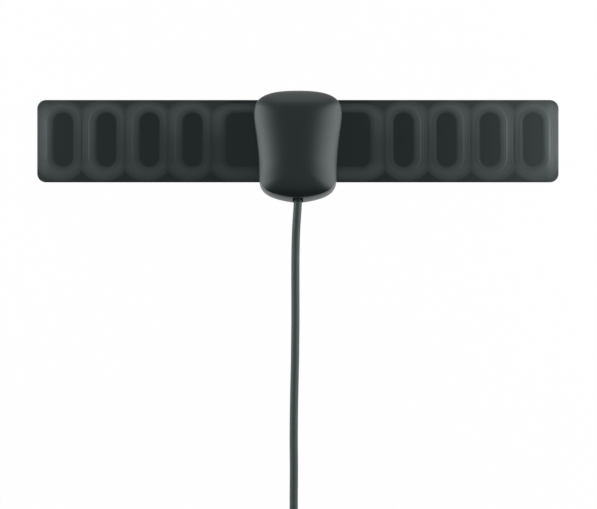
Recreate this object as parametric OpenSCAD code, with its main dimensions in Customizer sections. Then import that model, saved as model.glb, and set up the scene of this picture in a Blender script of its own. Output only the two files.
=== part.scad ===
// Flat indoor television antenna: a thin film strip with two chains of oval foil rings, a mouse-shaped
// pod over its middle, and a coaxial cord that ends in a screw-on plug. It lies on its back.
// The origin is the centre of the pod's back face, X runs along the strip and Z points out of the front.

/* [Strip] */
// Length of the strip, end to end
strip_w = 250; // [244:1:280]
// Height of the strip
strip_h = 39.5; // [39:0.25:42]
// How far the strip's centre line lies above the pod's centre
strip_rise = 2.7; // [2.2:0.1:3]
// Radius of the strip's corners
strip_corner_r = 4.2; // [2:0.2:7]
// Thickness of each of the two plastic films
film_t = 0.5; // [0.4:0.05:0.7]
// Thickness of the foil between the films
foil_t = 0.2; // [0.1:0.05:0.25]
// Height of each of the two embossed steps over the foil
emboss_t = 0.12; // [0.06:0.02:0.14]

/* [Foil rings] */
// Least room for the open ring by the pod, from the pod's middle to that ring's centre
feed_room = 24; // [22:0.5:28]
// Distance between ring centres
ring_pitch = 20.65; // [20.2:0.05:21]
// Width of a ring, outside
ring_w = 21.6; // [21:0.1:23]
// Width of the oval hole in a ring
hole_w = 10.8; // [9:0.1:11.4]
// Height of the oval hole in a ring
hole_h = 27.2; // [24:0.2:28]
// How far a hole's centre lies from its ring's centre, towards the pod
hole_shift = 1.5; // [0:0.1:1.8]
// How far a hole's centre lies above the strip's centre
hole_rise = 0.7; // [0:0.1:1]
// Bare film between the last ring and the strip's end
end_margin = 0.3; // [0.2:0.1:1]
// Bare film above the rings
top_margin = 0.5; // [0.3:0.1:1]
// Bare film below the rings
bottom_margin = 1; // [0.3:0.1:1.5]

/* [Pod] */
// How much longer the pod is than the strip is high
pod_overhang = 14.3; // [14:0.1:16]
// Half width of the pod at its waist
waist_half = 18.75; // [18.25:0.25:20]
// Half width that the pod's sides flare towards, beyond the top end
flare_half = 24.8; // [24:0.2:26]
// Height of the pod, back to front
pod_h = 14; // [13.5:0.25:16]
// Wall thickness of the front cover
wall = 1.6; // [1.4:0.1:1.8]
// Thickness of the back cover's floor
floor_t = 2; // [1.8:0.1:2.4]
// Width of the lip under the front cover's lower end
lip_w = 2.3; // [2:0.1:2.8]
// Height of that lip above the joint between the covers
lip_h = 5.2; // [4.6:0.1:5.6]
// Width of the rim along the pod's sides
rim_w = 0.4; // [0.3:0.05:0.6]
// Height of the rim along the pod's sides
rim_h = 2; // [1.6:0.1:2.4]

/* [Cord] */
// Diameter of the coaxial cord
cord_d = 4; // [3.8:0.1:4.2]
// Diameter of the white insulation inside the cord
dielectric_d = 2.5; // [2:0.1:2.7]
// Diameter of the cord's centre conductor
conductor_d = 0.7; // [0.5:0.05:0.8]
// Radius of the coil at the middle of its turns
coil_r = 24; // [22:0.5:24]
// Width and height of the coil's bundle of turns
bundle = 12; // [11:0.5:13]

/* [Hidden] */

// Overrun of every cut past the face that it opens
over = 0.5;
// Gap between pieces that may be parted by hand
fit_gap = 0.1;
// Gap round a pin, rivet or screw in its hole
pin_gap = 0.05;
round_fn = 48;

pod_l = strip_h + pod_overhang;
ring_count = floor((strip_w / 2 - end_margin - ring_w / 2 - feed_room) / ring_pitch);

// Levels of the stack, from the back face up
back_film_z = floor_t;
foil_z = back_film_z + film_t;
front_film_z = foil_z;
board_z = foil_z + foil_t;
strip_top = front_film_z + film_t + 2 * emboss_t;
split_z = strip_top + fit_gap;

// Pod outline: exponents of its two end curves, and where the waist ends and the flare begins
top_end_n = 5.5;
top_side_n = 2.54;
low_end_n = 8.6;
low_side_n = 1.31;
waist_share = -0.204;
flare_share = 0.812;
top_rim = 0.35;
outline_steps = 96;
back_chamfer = 0.8;
lip_start_share = -0.1;
lip_end_share = -0.46;
lip_levels = 4;
lip_n = 1.3;
skirt = 0.5;
crown_levels = 10;
inner_levels = 6;
crown_n = 2.3;
crown_m = 1.06;
crown_stretch_low = 0.2;
crown_stretch_high = 0.46;
crown_share = 0.03;
rim_foot = 0.5;

// Foil chain
arch_top = 6.5;
arch_low = 8;
arch_steps = 20;
feed_drop = 1.6;
feed_hole_r = 5;
feed_start = 4;
feed_bar = 9;
foil_play = 0.15;
emboss_grow = 0.3;
step_in = 3.1;

// Circuit board, rivets and balun
board_w = 24;
board_l = 14;
board_t = 1;
board_play = 0.5;
rivet_x = 8;
rivet_r = 1;
rivet_bore_r = 0.7;
rivet_head_r = 1.9;
rivet_head_t = 0.35;
rivet_foot_r = 1.7;
rivet_foot_t = 0.3;
core_w = 7;
core_l = 6.2;
core_h = 4.2;
core_hole_r = 0.85;
core_hole_pitch = 2.9;
core_offset = 1.5;
wire_r = 0.25;
wire_spread = 0.35;
lead_reach = 1.8;
loop_reach = 0.8;
chip = [2, 1.25, 0.8];
chip_x = 6.5;
chip_y = -4.4;

// Screws, pegs, posts and snap tabs
screw_x = 9.5;
screw_edge = 2.95;
screw_y = strip_rise - strip_h / 2 - screw_edge;
screw_r = 1;
screw_l = 8.2;
head_r = 1.85;
head_t = 1.1;
head_sink = 0.1;
recess_l = 2.2;
recess_w = 0.4;
recess_t = 0.5;
boss_r = 2.4;
peg_x = 15;
peg_y = 8;
peg_r = 1.3;
peg_proud = 0.9;
post_x = 10.8;
post_y = 4.5;
post_r = 1;
post_gap = 0.3;
tab_x = 6;
tab_w = 5;
tab_t = 1;
tab_drop = 1.05;
tab_rise = 4.4;
tab_set = 0.6;
nose_t = 0.5;
nose_h = 0.5;

// Cable entry
cord_r = cord_d / 2;
exit_z = 4.6;
grommet_wall = 0.4;
flange_r = 3.4;
flange_t = 1.2;
flange_gap = 0.4;
collar_proud = 1.7;
crimp_l = 3;
crimp_wall = 0.3;
crimp_gap = 0.45;
crimp_y = strip_rise - strip_h / 2 - crimp_gap;
crimp_end = crimp_y - crimp_wall;
insulation_l = 8.5;
pigtail_r = 0.5;
pad_reach = 1;

// Coil, tie and plug
coil_y = -207;
run_x = -2;
tie_t = 0.5;
tie_w = 6;
tie_gap = 0.3;
bundle_round = 3.5;
plug_x = 66;
boot_l = 15;
boot_r = 3;
boot_front_r = 4.8;
boot_ring_w = 1;
boot_ring_pitch = 2.2;
boot_ring_depth = 0.5;
boot_ring_count = 5;
grip_l = 16;
grip_r = 6.7;
plug_z = grip_r;
grip_round = 1.2;
groove_count = 4;
groove_pitch = 2.6;
groove_w = 1;
groove_depth = 0.5;
neck_r = 3.3;
neck_l = 3;
retainer_r = 4.3;
retainer_t = 1.2;
barrel_l = 6.5;
insulator_r = 2.2;
pin_r = 0.5;
pin_proud = 2.5;
nut_flats = 11;
nut_l = 11;
nut_gap = 0.3;
nut_lip = 2.3;
nut_play = 0.06;
thread_r = 4.6;
nut_chamfer = 0.5;

// Hand-laid route of the cord from the crimp inside the pod to the coil
run_route = [
    [0, crimp_end, exit_z], [0, -23, exit_z], [-0.1, -28, 4.5], [-0.5, -34, 3.8], [-0.9, -41, 2.8],
    [-1.1, -48, 2.1], [-1.2, -56, 2], [-1.2, -70, 2], [-1.2, -84, 2], [-1.4, -102, 2], [-1.8, -121, 2],
    [-2, -140, 2], [-1.9, -154, 2], [-2, -170, 2.2], [-2, -184, 2.5], [-2, -198, 2.5]
];
// Hand-laid route of the cord from the coil to the plug
tail_route = [
    [36, -235, 10.5], [44, -235, 10], [52, -235, 8.6], [60, -235, 7.1], [66, -235, 6.7], [81, -235, 6.7]
];
route_steps = 2;
cord_sides = 8;

function smooth(t) = let(u = min(max(t, 0), 1)) u * u * (3 - 2 * u);
function power(v, n) = pow(abs(v), 2 / n);

// Half width of the pod at height y, with the sides drawn in by inset
function half_width(y, inset) = waist_half - inset
    + (flare_half - waist_half) * smooth((y / pod_l - waist_share) / (flare_share - waist_share));

// Closed outline of the pod, with its sides, top end and lower end drawn in
function pod_outline(side, top, low) = [
    for (i = [0:outline_steps - 1])
        let(a = 360 * i / outline_steps, s = sin(a), c = cos(a))
        let(y = s >= 0 ? (pod_l / 2 - top) * power(s, top_end_n) : -(pod_l / 2 - low) * power(s, low_end_n))
        let(x = half_width(y, side) * power(c, s >= 0 ? top_side_n : low_side_n))
        [c >= 0 ? x : -x, y]
];

// An outline moved inwards along its own normals
function inset(points, d) = [
    for (i = [0:len(points) - 1])
        let(n = len(points), t = points[(i + 1) % n] - points[(i + n - 1) % n])
        points[i] + d * [-t.y, t.x] / norm(t)
];

full_outline = pod_outline(0, 0, 0);
front_outline = pod_outline(rim_w, top_rim, lip_w);
cavity_outline = inset(front_outline, wall);

function level(points, z) = [for (p = points) [p.x, p.y, z]];
function lip_share(y) = smooth((y / pod_l - lip_start_share) / (lip_end_share - lip_start_share));
function lip_top(p) = split_z + rim_h + (lip_h - rim_h) * lip_share(p.y);

// Ring j of the lip, which leans in from the full outline to the front outline and is slightly round
function lip_ring(j) = let(a = 90 * j / lip_levels, foot = split_z + rim_foot) [
    for (i = [0:outline_steps - 1])
        let(p = full_outline[i] + (front_outline[i] - full_outline[i]) * (1 - power(cos(a), lip_n)))
        [p.x, p.y, j == 0 ? split_z : foot + (lip_top(front_outline[i]) - foot) * power(sin(a), lip_n)]
];

// Closed solid through a stack of rings, with a fan at each end
module loft(rings) {
    n = len(rings[0]);
    m = len(rings);
    ones = [for (p = rings[0]) 1];
    low = ones * rings[0] / n;
    high = ones * rings[m - 1] / n;
    points = [for (ring = rings) each ring, low, high];
    sides = [
        for (j = [0:m - 2], i = [0:n - 1])
            let(a = j * n + i, b = j * n + (i + 1) % n)
            each [[a, b + n, b], [a, a + n, b + n]]
    ];
    low_fan = [for (i = [0:n - 1]) [n * m, i, (i + 1) % n]];
    high_fan = [for (i = [0:n - 1]) [n * m + 1, (m - 1) * n + (i + 1) % n, (m - 1) * n + i]];
    polyhedron(points, concat(sides, low_fan, high_fan), convexity = 8);
}

// Middle of the crown's rings, and how much less they shrink in length than in width
crown_y = crown_share * pod_l;
function crown_stretch(y) = y < crown_y ? crown_stretch_low : crown_stretch_high;

// Rings of a crown over an outline, each smaller than the one below it
crown_base = [for (p = front_outline) lip_top(p) + skirt];
function crown(points, top, levels) = [
    for (j = [0:levels - 1])
        let(a = 90 * j / levels, s = power(cos(a), crown_n), f = power(sin(a), crown_m))
        [
            for (i = [0:len(points) - 1])
                [
                    points[i].x * s,
                    crown_y + (points[i].y - crown_y) * pow(s, crown_stretch(points[i].y)),
                    crown_base[i] + (top - crown_base[i]) * f
                ]
        ]
];

// Tube swept along points; the reference vector is never along the path
module tube(path, r, sides, ref) {
    n = len(path);
    rings = [
        for (i = [0:n - 1])
            let(t = path[min(i + 1, n - 1)] - path[max(i - 1, 0)], u = cross(t, ref), side = u / norm(u))
            let(v = cross(side, t), up = v / norm(v))
            [for (k = [0:sides - 1]) let(a = 360 * k / sides) path[i] + r * (side * cos(a) + up * sin(a))]
    ];
    loft(rings);
}

// Smooth curve through every point of a route
function curve(p) = let(n = len(p)) concat(
    [
        for (i = [0:n - 2], j = [0:route_steps - 1])
            let(t = j / route_steps, a = p[max(i - 1, 0)], b = p[i], c = p[i + 1], d = p[min(i + 2, n - 1)])
            let(square = 2 * a - 5 * b + 4 * c - d, cube = 3 * b - a - 3 * c + d)
            b + t / 2 * (c - a + t * (square + t * cube))
    ],
    [p[n - 1]]
);

// Rectangle with round corners, centred
module round_plate(w, h, r) {
    square([w - 2 * r, h], center = true);
    square([w, h - 2 * r], center = true);
    for (x = [-1, 1], y = [-1, 1]) {
        translate([x * (w / 2 - r), y * (h / 2 - r)]) circle(r, $fn = round_fn);
    }
}

module slab(z, t) {
    translate([0, 0, z]) linear_extrude(t) children();
}

// Foil pattern
function ring_x(i) = strip_w / 2 - end_margin - ring_w / 2 - i * ring_pitch;
function arch(x, y, rx, ry, from) = [
    for (i = [0:arch_steps]) let(a = from + 180 * i / arch_steps) [x + rx * cos(a), y + ry * sin(a)]
];

// Outside of one ring, with an arched top and bottom, larger all round by grow
module ring_outline(x, drop, grow) {
    half = ring_w / 2 + grow;
    top = strip_h / 2 - top_margin - drop - arch_top;
    low = -strip_h / 2 + bottom_margin + arch_low;
    polygon(concat(
        arch(x, top, half, arch_top + grow, 0),
        arch(x, low, half, arch_low + grow, 180)
    ));
}

module oval(x, w, h) {
    translate([x, hole_rise]) {
        square([w, h - w], center = true);
        for (y = [-1, 1]) translate([0, y * (h - w) / 2]) circle(w / 2, $fn = round_fn);
    }
}

module ring_chain(grow) {
    feed_x = ring_x(ring_count);
    difference() {
        union() {
            for (i = [0:ring_count]) ring_outline(ring_x(i), i < ring_count ? 0 : feed_drop, grow);
            feed_bars(feed_x, grow);
        }
        for (i = [0:ring_count - 1]) oval(ring_x(i) - hole_shift, hole_w - 2 * grow, hole_h - 2 * grow);
        feed_window(feed_x, grow);
    }
}

// The two bars and the tab that carry the chain under the pod
module feed_bars(x, grow) {
    low = -strip_h / 2 + bottom_margin - grow;
    top = strip_h / 2 - top_margin - feed_drop + grow;
    translate([feed_start - grow, low]) square([x - feed_start + grow, top - low]);
}

module feed_window(x, grow) {
    left = feed_start + feed_bar + grow;
    right = x - hole_shift + hole_w / 2 - grow;
    translate([(left + right) / 2, hole_rise]) {
        round_plate(right - left, hole_h - 2 * grow, feed_hole_r - grow);
    }
}

// Inner embossed steps: an oval band round every hole
module step_bands() {
    for (i = [0:ring_count - 1]) {
        difference() {
            oval(ring_x(i) - hole_shift, hole_w + 2 * step_in, hole_h + 2 * step_in);
            oval(ring_x(i) - hole_shift, hole_w - 2 * emboss_grow, hole_h - 2 * emboss_grow);
        }
    }
}

module strip_outline() {
    round_plate(strip_w, strip_h, strip_corner_r);
}

module at_strip() {
    translate([0, strip_rise, 0]) children();
}

module both_sides() {
    children();
    mirror([1, 0, 0]) children();
}

module at_pegs() {
    for (x = [-1, 1], y = [-1, 1]) translate([x * peg_x, strip_rise + y * peg_y, 0]) children();
}

module at_screws() {
    for (x = [-1, 1]) translate([x * screw_x, screw_y, 0]) children();
}

module rod(z, r, h) {
    translate([0, 0, z]) cylinder(h, r, r, $fn = round_fn);
}

module along_cord(y, r, l) {
    translate([0, y, exit_z]) rotate([90, 0, 0]) cylinder(l, r, r, $fn = round_fn);
}

entry_r = cord_r + grommet_wall + pin_gap;
lip_low_y = -pod_l / 2;
wall_out_y = -(pod_l / 2 - lip_w);
wall_in_y = wall_out_y + wall;
flange_y = wall_in_y + flange_gap;

module cable_entry() {
    along_cord(wall_in_y + over, entry_r, wall_in_y - lip_low_y + 2 * over);
}

// Back cover: a shallow tray with a slot on each side for the strip
module back_cover() {
    color("#202325") difference() {
        union() {
            loft([
                level(inset(full_outline, back_chamfer), 0),
                level(full_outline, back_chamfer),
                level(full_outline, split_z),
                level(cavity_outline, split_z),
                level(cavity_outline, floor_t)
            ]);
            intersection() {
                at_screws() rod(over, boss_r, split_z - over);
                loft([level(front_outline, 0), level(front_outline, split_z)]);
            }
            at_pegs() rod(over, peg_r, strip_top + peg_proud - over);
        }
        difference() {
            slab(floor_t, split_z) at_strip() square([strip_w, strip_h + 2 * fit_gap], center = true);
            at_pegs() rod(0, peg_r, pod_h);
        }
        at_screws() {
            rod(-over, head_r + fit_gap, head_t + head_sink + over);
            rod(0, screw_r + fit_gap, pod_h);
        }
        at_strip() for (x = [-1, 1]) translate([x * rivet_x, 0, 0]) {
            rod(floor_t - rivet_foot_t - fit_gap, rivet_foot_r + fit_gap, floor_t);
        }
        cable_entry();
        snap_windows();
    }
}

module snap_windows() {
    for (x = [-1, 1]) translate([x * tab_x - tab_w / 2 - fit_gap, tab_y, split_z - tab_drop - fit_gap]) {
        cube([tab_w + 2 * fit_gap, tab_t + nose_t + 2 * fit_gap, nose_h + 2 * fit_gap]);
    }
}

// Front face of a snap tab, just inside the wall at the tab's place
tab_y = pod_l / 2 - top_rim - wall - tab_t - tab_set;

// Front cover: a domed shell with a lip round its lower end
module front_cover() {
    color("#2a2d2f") difference() {
        loft(concat([for (j = [0:lip_levels]) lip_ring(j)], crown(front_outline, pod_h, crown_levels)));
        difference() {
            loft(concat(
                [level(cavity_outline, split_z - over)],
                crown(cavity_outline, pod_h - wall, inner_levels)
            ));
            at_screws() rod(split_z, boss_r, pod_h);
            for (x = [-1, 1]) translate([x * post_x, strip_rise + post_y, 0]) {
                rod(board_z + board_t + post_gap, post_r, pod_h);
            }
        }
        at_screws() rod(0, screw_r + pin_gap, screw_l + post_gap + head_t + head_sink);
        cable_entry();
        translate([-entry_r, lip_low_y - over, exit_z]) cube([2 * entry_r, lip_w + over, pod_h]);
    }
    color("#2a2d2f") snap_tabs();
}

module snap_tabs() {
    for (x = [-1, 1]) translate([x * tab_x - tab_w / 2, tab_y, split_z - tab_drop]) {
        cube([tab_w, tab_t, tab_drop + tab_rise]);
        cube([tab_w, tab_t + nose_t, nose_h]);
    }
}

// Two pan-head screws with a cross recess, put in from the back
module cover_screws() {
    color("#9a9c9e") at_screws() difference() {
        union() {
            rod(head_sink, head_r, head_t);
            rod(head_sink, screw_r, screw_l);
        }
        for (a = [0, 90]) rotate([0, 0, a]) translate([-recess_l / 2, -recess_w / 2, 0]) {
            cube([recess_l, recess_w, head_sink + recess_t]);
        }
    }
}

module film_holes() {
    at_pegs() rod(0, peg_r + fit_gap, pod_h);
}

module rivet_holes() {
    at_strip() for (x = [-1, 1]) translate([x * rivet_x, 0, 0]) rod(0, rivet_r + pin_gap, pod_h);
}

module back_film() {
    color("#16191b") difference() {
        at_strip() slab(back_film_z, film_t) strip_outline();
        film_holes();
        rivet_holes();
    }
}

module right_foil() {
    color("#6f7577") difference() {
        at_strip() slab(foil_z, foil_t) ring_chain(0);
        rivet_holes();
    }
}

module left_foil() {
    color("#6f7577") mirror([1, 0, 0]) difference() {
        at_strip() slab(foil_z, foil_t) ring_chain(0);
        rivet_holes();
    }
}

// Front film: embossed in two steps over the foil, and cut out for the circuit board
module front_film() {
    top = front_film_z + film_t;
    color("#1b1f21") difference() {
        at_strip() union() {
            slab(front_film_z, film_t) strip_outline();
            intersection() {
                slab(top - over / 2, over / 2 + emboss_t) both_sides() ring_chain(emboss_grow);
                slab(foil_z, pod_h) strip_outline();
            }
            slab(top - over / 2, over / 2 + 2 * emboss_t) both_sides() step_bands();
        }
        at_strip() slab(front_film_z - over, over + foil_t) both_sides() ring_chain(foil_play);
        at_strip() slab(front_film_z - over, pod_h) {
            square([board_w + 2 * board_play, board_l + 2 * board_play], center = true);
        }
        film_holes();
    }
}

module circuit_board() {
    color("#3c6b45") difference() {
        at_strip() slab(board_z, board_t) square([board_w, board_l], center = true);
        rivet_holes();
    }
}

// Tubular rivet that joins a foil tab to the board
module rivet() {
    top = board_z + board_t;
    low = back_film_z - rivet_foot_t;
    color("#b9bcbe") difference() {
        union() {
            rod(top, rivet_head_r, rivet_head_t);
            rod(low, rivet_r, top - low + rivet_head_t);
            rod(low, rivet_foot_r, rivet_foot_t);
        }
        rod(low - over, rivet_bore_r, pod_h);
    }
}

module left_rivet() {
    translate([-rivet_x, strip_rise, 0]) rivet();
}

module right_rivet() {
    translate([rivet_x, strip_rise, 0]) rivet();
}

// Balun: two wires through a two-hole ferrite core
core_y = strip_rise + core_offset;
core_z = board_z + board_t;
hole_z = core_z + core_h / 2;
core_corner = 1.2;

module balun_core() {
    color("#3b3735") translate([0, core_y + core_l / 2, core_z + core_h / 2]) rotate([90, 0, 0]) {
        linear_extrude(core_l) difference() {
            round_plate(core_w, core_h, core_corner);
            for (x = [-1, 1]) translate([x * core_hole_pitch / 2, 0]) circle(core_hole_r, $fn = round_fn);
        }
    }
}

// One wire: down to the board at one end of the core, looped round at the other
function winding(side, z) = let(
    x = core_hole_pitch / 2,
    lead = core_y + side * (core_l / 2 + lead_reach),
    loop = core_y - side * (core_l / 2 + loop_reach),
    bend = loop_reach / 2
) [
    [-x, lead, core_z], [-x, lead, z - bend], [-x, lead - side * bend, z], [-x, loop + side * bend, z],
    [-x + bend, loop, z], [x - bend, loop, z], [x, loop + side * bend, z],
    [x, lead - side * bend, z], [x, lead, z - bend], [x, lead, core_z]
];

module primary_winding() {
    color("#b4622d") tube(winding(-1, hole_z - wire_spread), wire_r, cord_sides, [1, 1, 1]);
}

module secondary_winding() {
    color("#2f7d4f") tube(winding(1, hole_z + wire_spread), wire_r, cord_sides, [1, 1, 1]);
}

module matching_capacitors() {
    color("#a58b62") for (x = [-1, 1]) {
        translate([x * chip_x - chip.x / 2, strip_rise + chip_y - chip.y / 2, core_z]) cube(chip);
    }
}

// Rubber grommet, held in the hole between the covers
module cable_grommet() {
    color("#0c0c0c") difference() {
        union() {
            along_cord(flange_y, cord_r + grommet_wall, flange_y - wall_out_y + collar_proud);
            along_cord(flange_y + flange_t, flange_r, flange_t);
        }
        along_cord(flange_y + flange_t + over, cord_r, flange_y + flange_t - lip_low_y + 2 * over);
        translate([-flange_r, flange_y - over, 0]) cube([2 * flange_r, flange_t + 2 * over, floor_t]);
    }
}

module crimp_ring() {
    color("#a9abad") difference() {
        along_cord(crimp_y, cord_r + crimp_wall, crimp_l);
        along_cord(crimp_y + over, cord_r, crimp_l + 2 * over);
    }
}

pad_y = strip_rise - board_l / 2 + pad_reach;

module cable_insulation() {
    color("#e8e6df") along_cord(crimp_end + insulation_l, dielectric_d / 2, insulation_l);
}

module centre_conductor() {
    r = conductor_d / 2;
    color("#b87333") tube([
        [0, crimp_end + insulation_l, exit_z], [0, pad_y - 2 * r, exit_z],
        [0, pad_y, exit_z - r], [0, pad_y, core_z]
    ], r, cord_sides, [1, 1, 1]);
}

module braid_pigtail() {
    side = dielectric_d / 2 + pigtail_r + pin_gap;
    color("#8f9092") tube([
        [side, crimp_y, exit_z], [side, crimp_y + pigtail_r, exit_z],
        [2 * side, crimp_y + 2 * crimp_l, exit_z], [2 * side, pad_y - 2 * pigtail_r, exit_z],
        [2 * side, pad_y, exit_z - pigtail_r], [2 * side, pad_y, core_z]
    ], pigtail_r, cord_sides, [1, 1, 1]);
}

module cable_run() {
    color("#3a3d3f") tube(curve(run_route), cord_r, cord_sides, [0, 0, 1]);
}

module cable_tail() {
    color("#3a3d3f") tube(curve(tail_route), cord_r, cord_sides, [0, 0, 1]);
}

// The coiled length: one ring of the bundle's outer shape
outer_turn_r = coil_r + bundle / 2 - cord_r;
coil_x = run_x + outer_turn_r;

module cable_coil() {
    color("#34373a") translate([coil_x, coil_y, tie_t + bundle / 2]) rotate_extrude($fn = round_fn) {
        translate([coil_r, 0]) round_plate(bundle, bundle, bundle_round);
    }
}

module coil_tie() {
    inside = bundle + 2 * tie_gap;
    outside = inside + 2 * tie_t;
    color("#17181a") translate([coil_x + coil_r, coil_y, 0]) difference() {
        translate([-outside / 2, -tie_w / 2, 0]) cube([outside, tie_w, bundle + tie_gap + 2 * tie_t]);
        translate([-inside / 2, -tie_w / 2 - over, tie_t]) cube([inside, tie_w + 2 * over, bundle + tie_gap]);
    }
}

// The plug's pieces are turned shapes about one axis, laid along X
module on_plug_axis() {
    translate([plug_x, coil_y - outer_turn_r, plug_z]) rotate([0, 90, 0]) children();
}

grip_z = boot_l - grip_round;
grip_end = grip_z + grip_l;

module plug_boot() {
    color("#17181a") on_plug_axis() difference() {
        rotate_extrude($fn = round_fn) polygon([
            [0, 0], [boot_r, 0],
            for (i = [0:boot_ring_count - 1])
                let(z = boot_ring_pitch * (i + 0.5), r = boot_r + (boot_front_r - boot_r) * z / grip_z)
                each [
                    [r, z], [r - boot_ring_depth, z], [r - boot_ring_depth, z + boot_ring_w],
                    [r, z + boot_ring_w]
                ],
            [boot_front_r, grip_z], [0, grip_z]
        ]);
        rod(-over, cord_r, boot_l + over);
    }
}

module plug_grip() {
    color("#1d1e20") on_plug_axis() difference() {
        rotate_extrude($fn = round_fn) polygon([
            [0, grip_z], [grip_r - grip_round, grip_z], [grip_r, grip_z + grip_round],
            for (i = [0:groove_count - 1])
                let(z = grip_z + grip_l / 2 + groove_pitch * (i - groove_count / 2 + 0.5) - groove_w / 2)
                each [
                    [grip_r, z], [grip_r - groove_depth, z], [grip_r - groove_depth, z + groove_w],
                    [grip_r, z + groove_w]
                ],
            [grip_r, grip_end - grip_round], [grip_r - grip_round, grip_end], [0, grip_end]
        ]);
        rod(grip_z - over, cord_r, over + grip_round);
    }
}

// Metal barrel: a neck that the nut turns on, a flange that keeps it, and a sleeve
module plug_barrel() {
    color("#c3c5c7") on_plug_axis() difference() {
        union() {
            rod(grip_end, neck_r, neck_l);
            rod(grip_end + neck_l, retainer_r, retainer_t);
            rod(grip_end, neck_r, barrel_l);
        }
        rod(grip_end - over, insulator_r, barrel_l + 2 * over);
    }
}

module plug_insulator() {
    color("#ece9e0") on_plug_axis() difference() {
        rod(grip_end, insulator_r, barrel_l);
        rod(grip_end - over, pin_r, barrel_l + 2 * over);
    }
}

nut_z = grip_end + nut_gap;

module plug_pin() {
    color("#b9863b") on_plug_axis() rod(grip_end, pin_r, nut_gap + nut_l + pin_proud);
}

// Hexagonal nut, free to turn on the neck
module coupling_nut() {
    corner_r = nut_flats / 2 / cos(30);
    color("#c9cbcd") on_plug_axis() difference() {
        intersection() {
            translate([0, 0, nut_z]) cylinder(nut_l, corner_r, corner_r, $fn = 6);
            translate([0, 0, nut_z]) rotate_extrude($fn = round_fn) polygon([
                [0, 0], [corner_r - nut_chamfer, 0], [corner_r, nut_chamfer], [corner_r, nut_l - nut_chamfer],
                [corner_r - nut_chamfer, nut_l], [0, nut_l]
            ]);
        }
        rod(nut_z - over, neck_r + nut_play, nut_l);
        rod(nut_z + nut_lip, thread_r, nut_l);
    }
}

back_cover();
front_cover();
cover_screws();
back_film();
left_foil();
right_foil();
front_film();
circuit_board();
left_rivet();
right_rivet();
balun_core();
primary_winding();
secondary_winding();
matching_capacitors();
cable_grommet();
crimp_ring();
braid_pigtail();
cable_insulation();
centre_conductor();
cable_run();
cable_coil();
coil_tie();
cable_tail();
plug_boot();
plug_grip();
plug_barrel();
plug_insulator();
plug_pin();
coupling_nut();
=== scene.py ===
"""Looks of a flat indoor television antenna: a film strip with oval foil rings, a mouse-shaped pod and a cord.

Lengths below are in millimetres, as in the part's source; put_mesh() turns them into metres.
Every shape is a grid of points worked out with whole arrays. The formula is in each docstring.
"""
import math

import bpy
import numpy as np
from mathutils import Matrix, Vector


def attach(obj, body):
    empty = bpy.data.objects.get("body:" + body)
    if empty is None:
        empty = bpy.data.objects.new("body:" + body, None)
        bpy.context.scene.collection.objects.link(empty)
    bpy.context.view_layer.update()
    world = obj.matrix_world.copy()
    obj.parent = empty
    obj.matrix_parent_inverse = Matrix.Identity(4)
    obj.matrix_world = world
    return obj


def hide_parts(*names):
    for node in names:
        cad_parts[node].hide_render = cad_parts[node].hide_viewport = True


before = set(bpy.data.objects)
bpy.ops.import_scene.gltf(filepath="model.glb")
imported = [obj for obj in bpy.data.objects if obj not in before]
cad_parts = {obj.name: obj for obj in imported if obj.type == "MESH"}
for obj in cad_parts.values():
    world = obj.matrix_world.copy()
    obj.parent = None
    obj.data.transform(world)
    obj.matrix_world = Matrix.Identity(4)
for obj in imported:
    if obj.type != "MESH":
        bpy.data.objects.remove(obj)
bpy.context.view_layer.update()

MM = 0.001
TAU = 2 * math.pi

# Sizes that the part's source also has
STRIP_W, STRIP_H, STRIP_RISE, STRIP_CORNER = 250.0, 39.5, 2.7, 4.2
FLOOR_T, FOIL_Z, FOIL_TOP, FILM_TOP, STEP_T = 2.0, 2.5, 2.7, 3.0, 0.12
SPLIT_Z = 3.34
RING_COUNT, RING_PITCH, RING_W, END_MARGIN, TOP_MARGIN, LOW_MARGIN = 4, 20.65, 21.6, 0.3, 0.5, 1.0
HOLE_W, HOLE_H, HOLE_SHIFT, HOLE_RISE = 10.8, 27.2, 1.5, 0.7
ARCH_TOP, ARCH_LOW, FEED_DROP, FEED_START, FEED_BAR, FEED_HOLE_R = 6.5, 8.0, 1.6, 4.0, 9.0, 5.0
EMBOSS_GROW, STEP_IN = 0.3, 3.1
BOARD_W, BOARD_L = 25.0, 15.0
POD_L, WAIST_HALF, FLARE_HALF, POD_H, WALL = 53.8, 18.75, 24.8, 14.0, 1.6
RIM_W, TOP_RIM, LIP_W, RIM_H, RIM_FOOT, LIP_H, SKIRT, BACK_ROUND = 0.4, 0.35, 2.3, 2.0, 0.5, 5.2, 0.5, 0.8
LIP_N, CROWN_N, CROWN_M, CROWN_STRETCH, CROWN_SHARE = 1.3, 2.3, 1.06, (0.2, 0.46), 0.03
EXIT_Z, ENTRY_R, CORD_R = 4.6, 2.45, 2.0
SCREW_X, SCREW_Y, SCREW_R, HEAD_R, HEAD_DEPTH = 9.5, -20.0, 1.1, 1.95, 1.2
BOSS_R, POST, BOARD_TOP = 2.4, (10.8, 7.2), 3.7
PEGS, PEG_R, STRIP_TOP = [(15.0, -5.3), (15.0, 10.7)], 1.3, 3.24
TAB_X, TAB_Y, TAB_FOOT = 6.0, 23.35, SPLIT_Z - 1.05
COIL_X, COIL_Y, COIL_R, BUNDLE, TIE_T = 26.0, -207.0, 24.0, 12.0, 0.5
PLUG_X, PLUG_Y, PLUG_Z = 66.0, -235.0, 6.7
RUN_ROUTE = [
    [0, -17.8, 4.6], [0, -23, 4.6], [-0.1, -28, 4.5], [-0.5, -34, 3.8], [-0.9, -41, 2.8], [-1.1, -48, 2.1],
    [-1.2, -56, 2], [-1.2, -70, 2], [-1.2, -84, 2], [-1.4, -102, 2], [-1.8, -121, 2], [-2, -140, 2],
    [-1.9, -154, 2], [-2, -170, 2.2], [-2, -184, 2.5], [-2, -198, 2.5],
]
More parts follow.
